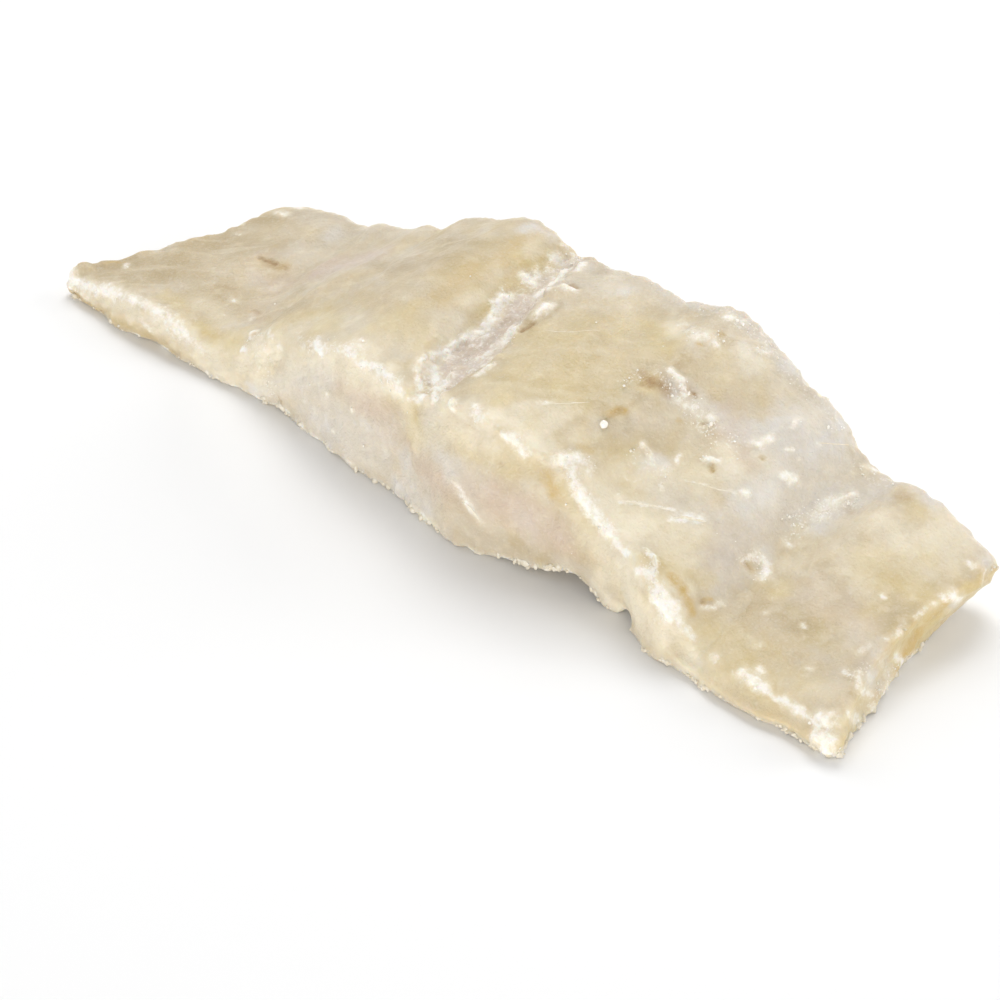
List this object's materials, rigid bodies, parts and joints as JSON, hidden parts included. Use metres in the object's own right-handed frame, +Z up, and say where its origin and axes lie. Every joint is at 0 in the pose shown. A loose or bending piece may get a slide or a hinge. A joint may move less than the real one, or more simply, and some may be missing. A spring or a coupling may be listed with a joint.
{
  "type": "salt cod loin",
  "caption": "Thick loin of salt cod with parted flakes, a low near edge, a high far edge and thin slanting ends, lying on its flat skin side.",
  "frame": {"origin": "centre of the bounding box, at the height of the flat underside", "axes": "+X along the loin, from its thin left flap to its right slab, +Y across it from the low near edge to the high far edge, +Z up from the underside"},
  "size_m": [0.199, 0.057, 0.0343],
  "materials": {
    "flesh": "waxy salted cod flesh, cream to straw colour with greyish translucent zones and white salt frost"
  },
  "bodies": {
    "root": {"cod_loin": "flesh"}
  },
  "joints": []
}
